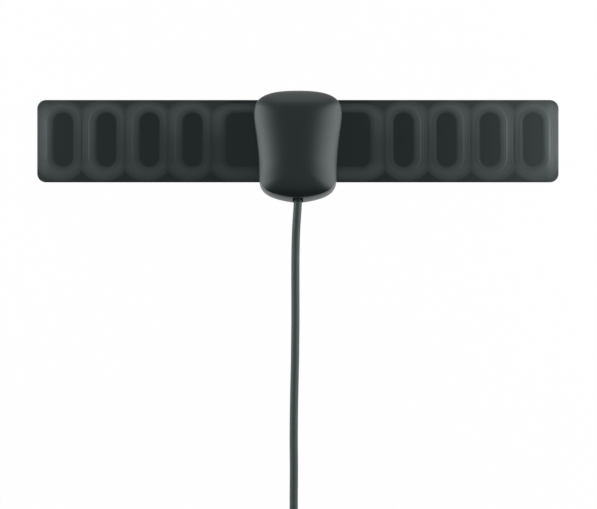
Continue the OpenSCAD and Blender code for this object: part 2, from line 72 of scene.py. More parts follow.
TAIL_ROUTE = [[36, -235, 10.5], [44, -235, 10], [52, -235, 8.6], [60, -235, 7.1], [66, -235, 6.7], [81, -235, 6.7]]


# ---------------------------------------------------------------- meshes

def smooth(t):
    """Ramp from 0 to 1 that starts and ends level."""
    t = np.clip(t, 0, 1)
    return t * t * (3 - 2 * t)


def spin(v):
    """Unit circle: angle v in radians to (cos v, sin v)."""
    return np.stack([np.cos(v), np.sin(v)], -1)


def shell(rings, wrap=False, along=None, flat=(False, False)):
    """Closed surface through rings[j, i]: four-cornered faces join neighbouring rings and neighbouring points.
    With wrap the last ring joins the first. Otherwise one face closes each flat end, and a fan of triangles to the
    ring's mean closes any other."""
    m, n = rings.shape[:2]
    along = np.arange(m, dtype=float) if along is None else along
    j = np.arange(m if wrap else m - 1)[:, None] + np.zeros((1, n), int)
    i = np.arange(n)[None, :] + np.zeros_like(j)
    after, above = (i + 1) % n, (j + 1) % m
    faces = [np.stack([j * n + i, j * n + after, above * n + after, above * n + i], -1).reshape(-1, 4)]
    u = np.stack([i, i + 1, i + 1, i], -1) / n
    v = np.stack([along[j], along[j], along[above], along[above]], -1)
    uvs = [np.stack([u, v], -1).reshape(-1, 4, 2)]
    points = rings.reshape(-1, 3)
    if not wrap:
        k = np.arange(n)
        for end, order, first in ((0, k[::-1], 0), (1, k, (m - 1) * n)):
            at = along[-end]
            if flat[end]:
                faces.append((first + order)[None])
                uvs.append(np.stack([order / n, np.full(n, at)], -1)[None])
            else:
                faces.append(np.stack([first + order, first + np.roll(order, -1), np.full(n, len(points))], -1))
                points = np.concatenate([points, rings[[-end]].mean(1)])
                around = np.stack([order, np.roll(order, -1), order + 0.5], -1) / n
                uvs.append(np.stack([around, np.full_like(around, at)], -1))
    return points, faces, uvs


def volume(points, faces):
    """Signed volume: the sum over each face's fan of a . (b x c) / 6."""
    total = 0.0
    for group in faces:
        p = points[group]
        total += (p[:, :1] * np.cross(p[:, 1:-1], p[:, 2:])).sum() / 6
    return total


def put_mesh(name, shells, values=None):
    """One object from closed shells of (points, faces, uvs), each turned so that its faces point outwards.
    values are numbers per point, kept as attributes of those names."""
    points, corners, totals, uvs, start = [], [], [], [], 0
    for shell_points, faces, shell_uvs in shells:
        turn = slice(None, None, 1 if volume(shell_points, faces) > 0 else -1)
        for group, uv in zip(faces, shell_uvs):
            corners.append(group[:, turn].ravel() + start)
            totals.append(np.full(len(group), group.shape[1]))
            uvs.append(uv[:, turn].reshape(-1, 2))
        points.append(shell_points)
        start += len(shell_points)
    points, corners, totals = np.concatenate(points) * MM, np.concatenate(corners), np.concatenate(totals)
    mesh = bpy.data.meshes.new(name)
    mesh.vertices.add(len(points))
    mesh.vertices.foreach_set("co", points.astype(np.float32).ravel())
    mesh.loops.add(len(corners))
    mesh.loops.foreach_set("vertex_index", corners.astype(np.int32))
    mesh.polygons.add(len(totals))
    mesh.polygons.foreach_set("loop_start", (np.cumsum(totals) - totals).astype(np.int32))
    mesh.uv_layers.new(name="UVMap").uv.foreach_set("vector", np.concatenate(uvs).astype(np.float32).ravel())
    for key, value in (values or {}).items():
        mesh.attributes.new(key, "FLOAT", "POINT").data.foreach_set("value", value.astype(np.float32))
    mesh.update(calc_edges=True)
    mesh.validate()
    piece = bpy.data.objects.new(name, mesh)
    bpy.context.scene.collection.objects.link(piece)
    return piece


def carve(piece, *cutters, operation="DIFFERENCE"):
    """Takes the cutters' volume out of the piece, or with UNION adds it, and removes the cutters."""
    for cutter in cutters:
        cut = piece.modifiers.new("cut", "BOOLEAN")
        cut.operation, cut.solver, cut.object = operation, "EXACT", cutter
    carved = piece.evaluated_get(bpy.context.evaluated_depsgraph_get())
    mesh = bpy.data.meshes.new_from_object(carved)
    piece.modifiers.clear()
    piece.data = mesh
    for cutter in cutters:
        bpy.data.objects.remove(cutter)
    return piece


def place(piece, material, slot, *nodes, body="antenna", crease=40):
    """Rides, material and replaced nodes of a finished piece; the slot argument is not used. Edges sharper than
    crease degrees stay sharp.
    """
    mesh = piece.data
    mesh.polygons.foreach_set("use_smooth", np.ones(len(mesh.polygons), bool))
    mesh.set_sharp_from_angle(angle=math.radians(crease))
    mesh.materials.clear()
    mesh.materials.append(material)
    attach(piece, body)
    if nodes:
        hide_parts(*nodes)
    return piece


def along_axis(profile, centre, axis, sides=96, wrap=False):
    """Turned shape: profile rows are (distance along the axis, radius); each row becomes a circle round the axis."""
    circle = spin(np.arange(sides) * TAU / sides)
    profile = np.asarray(profile, float)
    rings = np.zeros((len(profile), sides, 3))
    across = [k for k in range(3) if k != abs(axis) - 1]
    rings[..., abs(axis) - 1] = profile[:, :1] * np.sign(axis)
    rings[..., across[0]] = profile[:, 1:] * circle[:, 0]
    rings[..., across[1]] = profile[:, 1:] * circle[:, 1]
    return shell(rings + np.asarray(centre, float), wrap, along=profile[:, 0])


def bar(low, high):
    """Closed box between two corners, as four-point rings at its two heights."""
    (x0, y0, z0), (x1, y1, z1) = low, high
    square = np.array([[x0, y0], [x1, y0], [x1, y1], [x0, y1]], float)
    rings = np.stack([np.column_stack([square, np.full(4, z)]) for z in (z0, z1)])
    return shell(rings)


def rounded(corners, radius, steps=6):
    """Profile with its corners rounded: each inner corner b becomes a quadratic Bezier curve between the points at
    radius from b on its two sides, with b as the control point. A radius per corner may be given."""
    corners = np.asarray(corners, float)
    radius = np.broadcast_to(np.asarray(radius, float), len(corners))
    t = np.linspace(0, 1, steps)[:, None]
    rows = [corners[:1]]
    for a, b, c, r in zip(corners[:-2], corners[1:-1], corners[2:], radius[1:-1]):
        to_a, to_c = a - b, c - b
        la, lc = np.linalg.norm(to_a), np.linalg.norm(to_c)
        r = min(r, la * 0.49, lc * 0.49)
        rows.append((1 - t) ** 2 * (b + to_a / la * r) + 2 * t * (1 - t) * b + t ** 2 * (b + to_c / lc * r))
    rows.append(corners[-1:])
    return np.concatenate(rows)


# ---------------------------------------------------------------- materials

class Number:
    """A value that varies over a surface, with Python's arithmetic: each operation adds a Math node."""

    def __init__(self, finish, socket):
        self.finish, self.socket = finish, socket

    def with_other(self, operation, other, swap=False):
        pair = (other, self) if swap else (self, other)
        return self.finish.node("Math", {"operation": operation}, dict(enumerate(pair)))

    def __add__(self, other): return self.with_other("ADD", other)
    def __radd__(self, other): return self.with_other("ADD", other)
    def __sub__(self, other): return self.with_other("SUBTRACT", other)
    def __rsub__(self, other): return self.with_other("SUBTRACT", other, True)
    def __mul__(self, other): return self.with_other("MULTIPLY", other)
    def __rmul__(self, other): return self.with_other("MULTIPLY", other)
    def __truediv__(self, other): return self.with_other("DIVIDE", other)
    def __rtruediv__(self, other): return self.with_other("DIVIDE", other, True)
    def __pow__(self, other): return self.with_other("POWER", other)


class Finish:
    """A material with one Principled shader. Constants go on the shader's own sockets, in its words."""

    def __init__(self, name, **constants):
        self.material = bpy.data.materials.new(name)
        self.material.use_nodes = True
        self.tree = self.material.node_tree
        self.shader = self.tree.nodes["Principled BSDF"]
        for key, value in constants.items():
            self.shader.inputs[key.replace("_", " ")].default_value = value
        metres = self.node("TexCoord", out="Object")
        self.where = self.node("VectorMath", {"operation": "SCALE"}, {0: metres, "Scale": 1 / MM})

    def node(self, kind, settings=None, values=None, out=0):
        made = self.tree.nodes.new("ShaderNode" + kind)
        for key, value in (settings or {}).items():
            if key == "stops":
                ramp = made.color_ramp.elements
                while len(ramp) < len(value):
                    ramp.new(1.0)
                for element, (at, level) in zip(ramp, value):
                    element.position, element.color = at, (level, level, level, 1)
            else:
                setattr(made, key, value)
        for key, value in (values or {}).items():
            if isinstance(value, Number):
                self.tree.links.new(value.socket, made.inputs[key])
            else:
                made.inputs[key].default_value = value
        return Number(self, made.outputs[out])

    def noise(self, size, detail=2.0, rough=0.5, where=None, stretch=None):
        """Noise with features of about size mm, from 0 to 1."""
        where = where or self.where
        if stretch:
            where = self.node("VectorMath", {"operation": "MULTIPLY"}, {0: where, 1: stretch})
        values = {"Vector": where, "Scale": 1 / size, "Detail": detail, "Roughness": rough}
        return self.node("TexNoise", {}, values)

    def ramp(self, value, low, high):
        """0 below low, 1 above high, smooth between."""
        settings = {"interpolation_type": "SMOOTHSTEP"}
        return self.node("MapRange", settings, {"Value": value, "From Min": low, "From Max": high})

    def attribute(self, name):
        return self.node("Attribute", {"attribute_name": name}, out="Fac")

    def blend(self, factor, a, b):
        """Colour between a and b."""
        values = {0: factor, 6: a if isinstance(a, Number) else (*a, 1), 7: b if isinstance(b, Number) else (*b, 1)}
        return self.node("Mix", {"data_type": "RGBA"}, values, out=2)

    def shade(self, colour, factor):
        """A colour made lighter or darker by a number."""
        grey = self.node("CombineXYZ", {}, {0: factor, 1: factor, 2: factor})
        values = {0: 1.0, 6: colour if isinstance(colour, Number) else (*colour, 1), 7: grey}
        return self.node("Mix", {"data_type": "RGBA", "blend_type": "MULTIPLY"}, values, out=2)

    def feed(self, **links):
        for key, value in links.items():
            self.tree.links.new(value.socket, self.shader.inputs[key.replace("_", " ")])
        return self

    def bump(self, height, depth, strength=1.0):
        """Relief of depth mm where height goes from 0 to 1."""
        values = {"Height": height, "Distance": depth * MM, "Strength": strength}
        return self.feed(Normal=self.node("Bump", {}, values))


def moulded_plastic(name, colour, roughness, grain=0.35, depth=0.012, lip=None):
    """Moulded plastic: a fine spark-eroded grain, faint cloudy changes in sheen and colour. With a lip colour, the
    rings of the pod's mesh on the lip, as v of the UV map tells, get it near the low end, as a painted reflection
    of the white floor."""
    f = Finish(name, IOR=1.58)
    cloud = f.noise(9.0, 3.0)
    fine = f.noise(grain, 2.0, 0.6)
    if lip:
        row = f.node("SeparateXYZ", {}, {0: f.node("UVMap", {"uv_map": "UVMap"})}, out=1)
        low = f.node("SeparateXYZ", {}, {0: f.where}, out=1)
        # Painted reflection: the lip's slope is made paler grey, most under the pod's low end.
        painted_lip_reflection = f.ramp(row, 26.2, 27.5) * (1 - f.ramp(row, 38.6, 39.2)) * (1 - 0.75 * f.ramp(low, -20.0, -13.0))
        colour = f.blend(painted_lip_reflection, colour, lip)
    f.feed(Base_Color=f.shade(colour, 0.9 + 0.2 * cloud))
    f.feed(Roughness=(roughness - 0.03) + 0.04 * cloud + 0.03 * fine)
    return f.bump(fine, depth).material


def polished_metal(name, colour, roughness, stretch=(1, 1, 1), size=0.25):
    """Plated metal: fine lines along one direction, slight tarnish in patches."""
    f = Finish(name, Metallic=1.0)
    lines = f.noise(size, 3.0, 0.6, stretch=stretch)
    patch = f.noise(4.0, 2.0)
    f.feed(Base_Color=f.shade(colour, 0.88 + 0.16 * patch), Roughness=roughness + 0.12 * lines + 0.05 * patch)
    return f.bump(lines, 0.004).material


def rubber(name, colour, roughness):
    f = Finish(name, IOR=1.5)
    fine, cloud = f.noise(0.2, 2.0, 0.6), f.noise(3.0)
    f.feed(Base_Color=f.shade(colour, 0.85 + 0.3 * cloud), Roughness=roughness + 0.1 * fine)
    return f.bump(fine, 0.01).material


def strip_film():
    """Smoke-tinted embossed film. foil is 1 over the foil rings and shows as a paler zone, with painted reflection
    of the lamps added towards the strip's ends and top; edge is 1 on the embossed edges that face the side lamps,
    and paints a highlight there."""
    f = Finish("smoke_film", IOR=1.5)
    foil, step, edge = f.attribute("foil"), f.attribute("step"), f.attribute("edge")
    cloud, fine = f.noise(14.0, 2.0), f.noise(0.3, 2.0, 0.6)
    # foil brings the foil's paler tone and the painted reflection added to it.
    tone = f.blend(foil * 0.4, (0.002, 0.0055, 0.0055), (0.146, 0.143, 0.144))
    tone = f.blend(step * 0.1, tone, (0.080, 0.083, 0.084))
    # Painted highlight on the embossed edges.
    tone = f.blend(edge * 0.6, tone, (0.24, 0.25, 0.25))
    f.feed(Base_Color=f.shade(tone, 0.92 + 0.16 * cloud), Roughness=0.34 - 0.02 * foil + 0.05 * fine)
    return f.bump(fine, 0.006).material


def cord_jacket():
    """Thin jacket drawn over a braid: two sets of wires wound against each other, v runs along in mm and u round."""
    f = Finish("cord_jacket", IOR=1.5)
    uv = f.node("UVMap", {"uv_map": "UVMap"})
    around = f.node("SeparateXYZ", {}, {0: uv}, out=0)
    length = f.node("SeparateXYZ", {}, {0: uv}, out=1)
    turns, lay = 7.0, 1 / 7.0

    def wave(value):
        return f.node("Math", {"operation": "SINE"}, {0: value * TAU})

    left, right = wave(around * turns + length * (turns * lay)), wave(around * turns - length * (turns * lay))
    braid = f.node("Math", {"operation": "MAXIMUM"}, {0: left, 1: right}) * 0.5 + 0.5
    cloud = f.noise(5.0, 2.0)
    f.feed(Base_Color=f.shade((0.054, 0.060, 0.060), 0.72 + 0.36 * braid + 0.2 * cloud))
    f.feed(Roughness=0.5 - 0.08 * braid)
    return f.bump(braid, 0.06).material


# ---------------------------------------------------------------- the cord

def through(route, steps=12):
    """Smooth curve through every point of a route: a cubic between each two, with slopes from their neighbours."""
    p = np.asarray(route, float)
    a, b, c, d = np.concatenate([p[:1], p[:-2]]), p[:-1], p[1:], np.concatenate([p[2:], p[-1:]])
    t = (np.arange(steps) / steps)[None, :, None]
    a, b, c, d = (q[:, None] for q in (a, b, c, d))
    curve = b + t / 2 * (c - a + t * (2 * a - 5 * b + 4 * c - d + t * (3 * b - a - 3 * c + d)))
    return np.concatenate([curve.reshape(-1, 3), p[-1:]])


def coil_turns(step=4.0):
    """The coiled length: it turns about the coil's centre from the left side, and moves from cell to cell of a
    three by three bundle, one cord's width per turn. Each move is a smooth ramp over 48 degrees, and comes 30
    degrees earlier in the turn than the one before, so no two turns cross."""
    cells = np.array([
        [28, 2.5], [24, 2.5], [20, 2.5], [20, 6.5], [20, 10.5], [24, 10.5], [24, 6.5], [28, 6.5], [28, 10.5]
    ])
    turned = np.arange(0, 2970 + step / 2, step)
    first, pitch, width = 310.0, 330.7, 48.0
    starts = first + pitch * np.arange(len(cells) - 1)
    share = smooth((turned[:, None] - starts) / width)
    radius, height = (cells[0] + share @ np.diff(cells, axis=0)).T
    angle = np.radians(180 + turned)
    return np.stack([COIL_X + radius * np.cos(angle), COIL_Y + radius * np.sin(angle), height], -1)


def even(points, spacing):
    """The same line with its points an even distance apart."""
    far = np.concatenate([[0], np.cumsum(np.linalg.norm(np.diff(points, axis=0), axis=1))])
    at = np.linspace(0, far[-1], int(far[-1] / spacing) + 1)
    return np.stack([np.interp(at, far, points[:, k]) for k in range(3)], -1), at


def tube_rings(line, radius, sides):
    """Circles across a line: the side vector is (the line's direction) x up, and the second one is across both."""
    ahead = np.gradient(line, axis=0)
    ahead /= np.linalg.norm(ahead, axis=1, keepdims=True)
    side = np.cross(ahead, [0, 0, 1.0])
    side /= np.linalg.norm(side, axis=1, keepdims=True)
    up = np.cross(side, ahead)
    circle = spin(np.arange(sides) * TAU / sides)
    return line[:, None] + radius * (side[:, None] * circle[:, :1] + up[:, None] * circle[:, 1:])


run_line = through(RUN_ROUTE)
tail_line = through(TAIL_ROUTE)
cord_line, cord_at = even(np.concatenate([run_line[:-1], coil_turns(), tail_line]), 1.1)
cord = put_mesh("cord", [shell(tube_rings(cord_line, CORD_R, 28), along=cord_at)])
place(cord, cord_jacket(), "jacket", "cable_run", "cable_coil", "cable_tail")


# ---------------------------------------------------------------- pod covers

OUTLINE_POINTS = 480


def outline_at(phi, side, top, low):
    """Pod outline: y = end * sin(phi); x = half width at y * (1 - |y / end| ** n) ** (1 / m). Its top half and its
    low half have their own end, n and m, and the half width grows smoothly from the waist to the top."""
    w = np.sin(phi)
    upper = w >= 0
    end = np.where(upper, POD_L / 2 - top, POD_L / 2 - low)
    n, m = np.where(upper, 5.5, 8.6), np.where(upper, 2.54, 1.31)
    y = end * w
    flare = smooth((y / POD_L + 0.204) / (0.812 + 0.204))
    half = WAIST_HALF - side + (FLARE_HALF - WAIST_HALF) * flare
    x = half * (1 - np.abs(w) ** n).clip(0) ** (1 / m) * np.where(np.cos(phi) >= 0, 1, -1)
    return np.stack([x, y], -1)


dense = np.linspace(0, TAU, 16385)
dense_line = outline_at(dense, 0, 0, 0)
travelled = np.concatenate([[0], np.cumsum(np.linalg.norm(np.diff(dense_line, axis=0), axis=1))])
PHI = np.interp(np.arange(OUTLINE_POINTS) * travelled[-1] / OUTLINE_POINTS, travelled, dense)


def inset(line, distance):
    """A closed outline moved inwards along its own normals."""
    t = np.roll(line, -1, 0) - np.roll(line, 1, 0)
    return line + distance * np.stack([-t[:, 1], t[:, 0]], -1) / np.linalg.norm(t, axis=1, keepdims=True)


full_line = outline_at(PHI, 0, 0, 0)
front_line = outline_at(PHI, RIM_W, TOP_RIM, LIP_W)
cavity_line = inset(front_line, WALL)


def lip_top(line):
    """Height of the lip: low along the sides and the top, rising smoothly to the lip under the lower end."""
    return SPLIT_Z + RIM_H + (LIP_H - RIM_H) * smooth((line[:, 1] / POD_L + 0.1) / (0.1 - 0.46))


def level(line, z):
    return np.column_stack([line, np.broadcast_to(z, len(line))])


EDGE_RISE = 1.8


def crown(line, top, levels, edge=0.0, stretch=CROWN_STRETCH):
    """Rings of the crown over an outline: the ring at angle a is s = cos(a) ** (2 / n) times as wide and s ** stretch
    times as long, about a point a little above the middle, at sin(a) ** (2 / m) of the height to the top. So the
    crown falls away as width ** n across and as length ** (n / stretch) along the pod. edge lifts the crown's foot
    where its outline faces the lower end, which leaves a crisp edge there above the lip."""
    t = np.roll(front_line, -1, 0) - np.roll(front_line, 1, 0)
    facing_low = t[:, 0] / np.linalg.norm(t, axis=1)
    base = lip_top(front_line) + SKIRT + edge * smooth((facing_low - 0.05) / 0.85)
    centre = np.array([0, CROWN_SHARE * POD_L])
    a = np.arange(levels) / levels * math.pi / 2
    s, f = np.cos(a) ** (2 / CROWN_N), np.sin(a) ** (2 / CROWN_M)
    stretch = np.where(line[:, 1] < centre[1], *stretch)
    flat = centre + (line - centre)[None] * np.stack([s[:, None] + 0 * stretch, s[:, None] ** stretch], -1)
    return np.concatenate([flat, (base + (top - base) * f[:, None])[..., None]], -1)


def lip(levels):
    """The lip leans in from the full outline up to the foot of the crown: at angle a it is 1 - cos(a) ** (2 / n)
    of the way in and sin(a) ** (2 / n) of the way up, which is nearly straight for n a little over 1."""
    a = np.linspace(0, math.pi / 2, levels)[:, None, None]
    foot = SPLIT_Z + RIM_FOOT
    flat = full_line + (front_line - full_line) * (1 - np.cos(a).clip(0) ** (2 / LIP_N))
    rise = foot + (lip_top(front_line) - foot)[None, :, None] * np.sin(a) ** (2 / LIP_N)
    return np.concatenate([flat, rise], -1)


def tube_cutter(name, centre, axis, radius, length, sides=64):
    """Cylinder from centre along an axis."""
    return put_mesh(name, [along_axis([[0, radius], [length, radius]], centre, axis, sides)])


def rods(name, places, z, radius, length):
    """Upright rods at places (x, y) and their mirror images across x = 0."""
    return put_mesh(name, [
        along_axis([[0, radius], [length, radius]], [side * x, y, z], 3, 64) for x, y in places for side in (-1, 1)
    ])


notch_y = -(POD_L / 2 - LIP_W)
outside = np.concatenate([level(full_line, SPLIT_Z)[None], lip(14), crown(front_line, POD_H, 48, EDGE_RISE, (0.33, 0.46))])
front_cover = put_mesh("pod_front_cover", [shell(outside, along=25.0 + np.arange(len(outside)), flat=(True, False))])
inside_rings = np.concatenate([level(cavity_line, SPLIT_Z - 0.5)[None], crown(cavity_line, POD_H - WALL, 24)])
hollow = carve(
    put_mesh("hollow", [shell(inside_rings, flat=(True, False))]),
    rods("bosses", [(SCREW_X, SCREW_Y)], SPLIT_Z, BOSS_R, POD_H),
    rods("posts", [POST], BOARD_TOP + 0.3, 1.0, POD_H),
)
carve(
    front_cover, hollow,
    rods("screw_holes", [(SCREW_X, SCREW_Y)], 0, 1.05, 9.7),
    tube_cutter("entry", [0, notch_y + WALL + 0.5, EXIT_Z], -2, ENTRY_R, 8),
    put_mesh("notch", [bar([-ENTRY_R, notch_y - 6, EXIT_Z], [ENTRY_R, notch_y, POD_H])]),
)
tabs = []
for x in (-TAB_X, TAB_X):
    tabs.append(put_mesh("tab", [bar([x - 2.5, TAB_Y, TAB_FOOT], [x + 2.5, TAB_Y + 1, SPLIT_Z + 4.4])]))
    tabs.append(put_mesh("nose", [bar([x - 2.5, TAB_Y, TAB_FOOT], [x + 2.5, TAB_Y + 1.5, TAB_FOOT + 0.5])]))
carve(front_cover, *tabs, operation="UNION")
# The lip colour is a painted reflection of the white floor on the pod's lip.
place(front_cover, moulded_plastic("pod_plastic", (0.0055, 0.0088, 0.0092), 0.38, lip=(0.15, 0.155, 0.155)), "cover_plastic", "front_cover", crease=35)

quarter = np.linspace(0, math.pi / 2, 8)
rings = np.stack(
    [level(full_line, SPLIT_Z)]
    + [level(inset(full_line, BACK_ROUND * (1 - math.cos(a))), BACK_ROUND * (1 - math.sin(a))) for a in quarter]
)
back_cover = put_mesh("pod_back_cover", [shell(rings, flat=(True, True))])
rings = np.stack([level(cavity_line, FLOOR_T), level(cavity_line, SPLIT_Z + 0.5)])
hollow = put_mesh("hollow", [shell(rings, flat=(True, True))])
slot_low, slot_high = STRIP_RISE - STRIP_H / 2 - 0.1, STRIP_RISE + STRIP_H / 2 + 0.1
slot = put_mesh("strip_slot", [bar([-STRIP_W, slot_low, FLOOR_T], [STRIP_W, slot_high, POD_H])])
carve(hollow, slot, operation="UNION")
carve(hollow, rods("bosses", [(SCREW_X, SCREW_Y)], 0.5, BOSS_R, POD_H))
windows = [
    put_mesh("snap_window", [bar([x - 2.6, TAB_Y, TAB_FOOT - 0.1], [x + 2.6, TAB_Y + 1.6, TAB_FOOT + 0.6])])
    for x in (-TAB_X, TAB_X)
]
carve(
    back_cover, hollow, *windows,
    tube_cutter("entry", [0, notch_y + WALL + 0.5, EXIT_Z], -2, ENTRY_R, 8),
    rods("counterbores", [(SCREW_X, SCREW_Y)], -1, HEAD_R, 1 + HEAD_DEPTH),
    rods("screw_holes", [(SCREW_X, SCREW_Y)], -1, SCREW_R, 9),
    rods("rivet_feet", [(8.0, STRIP_RISE)], FLOOR_T - 0.4, 1.8, POD_H),
)
carve(back_cover, rods("pegs", PEGS, 0.5, PEG_R, STRIP_TOP + 0.9 - 0.5), operation="UNION")
place(back_cover, moulded_plastic("back_plastic", (0.017, 0.018, 0.019), 0.5), "back_plastic", "back_cover", crease=35)


# ---------------------------------------------------------------- the strip

def stadium(x, y, w, h):
    """Signed distance to an upright slot with round ends, w by h, about the origin."""
    return np.hypot(x, np.maximum(np.abs(y) - (h - w) / 2, 0)) - w / 2


def ring_outside(x, y, drop):
    """Signed distance to a ring's outside: straight sides, half an ellipse above and another below. For an
    ellipse it is k0 * (k0 - 1) / k1, with k0 = |p / r| and k1 = |p / r ** 2|."""
    rx = RING_W / 2
    top, low = STRIP_H / 2 - TOP_MARGIN - drop - ARCH_TOP, -STRIP_H / 2 + LOW_MARGIN + ARCH_LOW
    ry = np.where(y > 0, ARCH_TOP, ARCH_LOW)
    dy = np.where(y > 0, np.maximum(y - top, 0), np.minimum(y - low, 0))
    k0, k1 = np.hypot(x / rx, dy / ry), np.hypot(x / rx ** 2, dy / ry ** 2)
    return k0 * (k0 - 1) / np.maximum(k1, 1e-9)


def box_distance(x, y, low, high, r):
    """Signed distance to a rectangle with corners of radius r."""
    qx = np.abs(x - (low[0] + high[0]) / 2) - (high[0] - low[0]) / 2 + r
    qy = np.abs(y - (low[1] + high[1]) / 2) - (high[1] - low[1]) / 2 + r
    return np.hypot(np.maximum(qx, 0), np.maximum(qy, 0)) + np.minimum(np.maximum(qx, qy), 0) - r


def ring_x(i):
    return STRIP_W / 2 - END_MARGIN - RING_W / 2 - i * RING_PITCH


def foil_distances(x, y):
    """Signed distance to the foil chain, and to its nearest hole."""
    x = np.abs(x)
    chain = np.minimum.reduce([ring_outside(x - ring_x(i), y, 0) for i in range(RING_COUNT)])
    feed_x = ring_x(RING_COUNT)
    low, high = -STRIP_H / 2 + LOW_MARGIN, STRIP_H / 2 - TOP_MARGIN - FEED_DROP
    chain = np.minimum(chain, ring_outside(x - feed_x, y, FEED_DROP))
    chain = np.minimum(chain, box_distance(x, y, (FEED_START, low), (feed_x, high), 0))
    holes = np.minimum.reduce([
        stadium(x - ring_x(i) + HOLE_SHIFT, y - HOLE_RISE, HOLE_W, HOLE_H) for i in range(RING_COUNT)
    ])
    right = feed_x - HOLE_SHIFT + HOLE_W / 2
    window = box_distance(
        x, y, (FEED_START + FEED_BAR, HOLE_RISE - HOLE_H / 2), (right, HOLE_RISE + HOLE_H / 2), FEED_HOLE_R
    )
    return np.maximum(chain, -np.minimum(holes, window)), holes


def nearest_hole(x):
    """Distance from the middle of the strip to the hole whose ring x is in."""
    ring = np.round((ring_x(0) - np.abs(x)) / RING_PITCH).clip(0, RING_COUNT - 1)
    return ring_x(0) - ring * RING_PITCH - HOLE_SHIFT


def columns(spacing):
    """Places along the strip: close together outside the pod, wide apart under it, and bunched at the corners so
    that each corner is a clean quarter circle."""
    straight = STRIP_W / 2 - STRIP_CORNER
    turn = np.linspace(0, math.pi / 2, 18)
    half = np.concatenate([
        [0, 2.5, 5, 7.5, 10], [BOARD_W / 2, 14.5, 16.5],
        np.arange(18.0, straight - spacing / 2, spacing),
        straight + STRIP_CORNER * np.sin(turn),
    ])
    return np.concatenate([-half[:0:-1], half])


def film_tones(x, y, chain, holes, inside):
    """How pale the film is (1 over an average ring) and how bright its embossed lines are, as painted highlights. Over
    the foil's own paler tone, painted reflection of the lamps makes the rings pale towards the strip's ends and its
    top edge, the bare film above them a little, and all of it next to the right end."""
    far, right = np.abs(x), x > 0
    # top, low and height: painted reflection, rings paler towards the top edge, a little towards the low edge, and
    # towards the ends.
    top = np.where(right, 0.95 + 0.1 * smooth((far - 40) / 60), 0.95)
    low = np.where(right, 0.5, 0.3 + 0.25 * smooth((far - 50) / 50))
    height = low + (top - low) * smooth((y + 3) / 18) + 0.16 * smooth((-y - 9) / 4)
    foil_and_painted_sheen = inside(chain - 0.4, 0.6) * height * (0.64 + 0.5 * smooth(-chain / 2.8))
    # Painted reflection: the bare film above the rings paler towards the top.
    above = 0.3 * smooth((y - 4) / 12) * (1 - inside(holes, 0.9)) * smooth((far - 30) / 8)
    # Painted reflection of the side lamps, growing towards both ends, more on the right.
    painted_end_reflection = np.where(right, 0.5 * ((far - 30) / 83).clip(0) ** 2, 0.14 * ((far - 50) / 62).clip(0) ** 2)
    # Painted reflection: a bright band at both ends of the strip.
    end = smooth((far - 118.5) / 3) * np.where(right, 1.6, 0.8) * (0.25 + 0.75 * smooth(1.3 - np.abs(y - 1) / 15))
    # Painted highlights: bright lines on the embossed edges, only on each hole's outward side, which faces the nearer
    # side lamp, and stronger towards the ends, most on the right.
    outward = smooth((far - nearest_hole(x)) / 4 - 0.6) * smooth(1.2 - np.abs(y - HOLE_RISE) / 14)
    strength = np.where(right, 0.3 + 0.7 * smooth((far - 80) / 25), 0.25 + 0.3 * smooth((far - 80) / 25))
    lines = ((STEP_IN, 1.0), (1.0, 0.3), (2.1, 0.35), (4.3, 0.6), (5.5, 0.35))
    edge = sum(k * np.exp(-((holes - d) / 0.28) ** 2) for d, k in lines) * outward * strength
    return np.maximum(foil_and_painted_sheen, above) + painted_end_reflection + end, edge


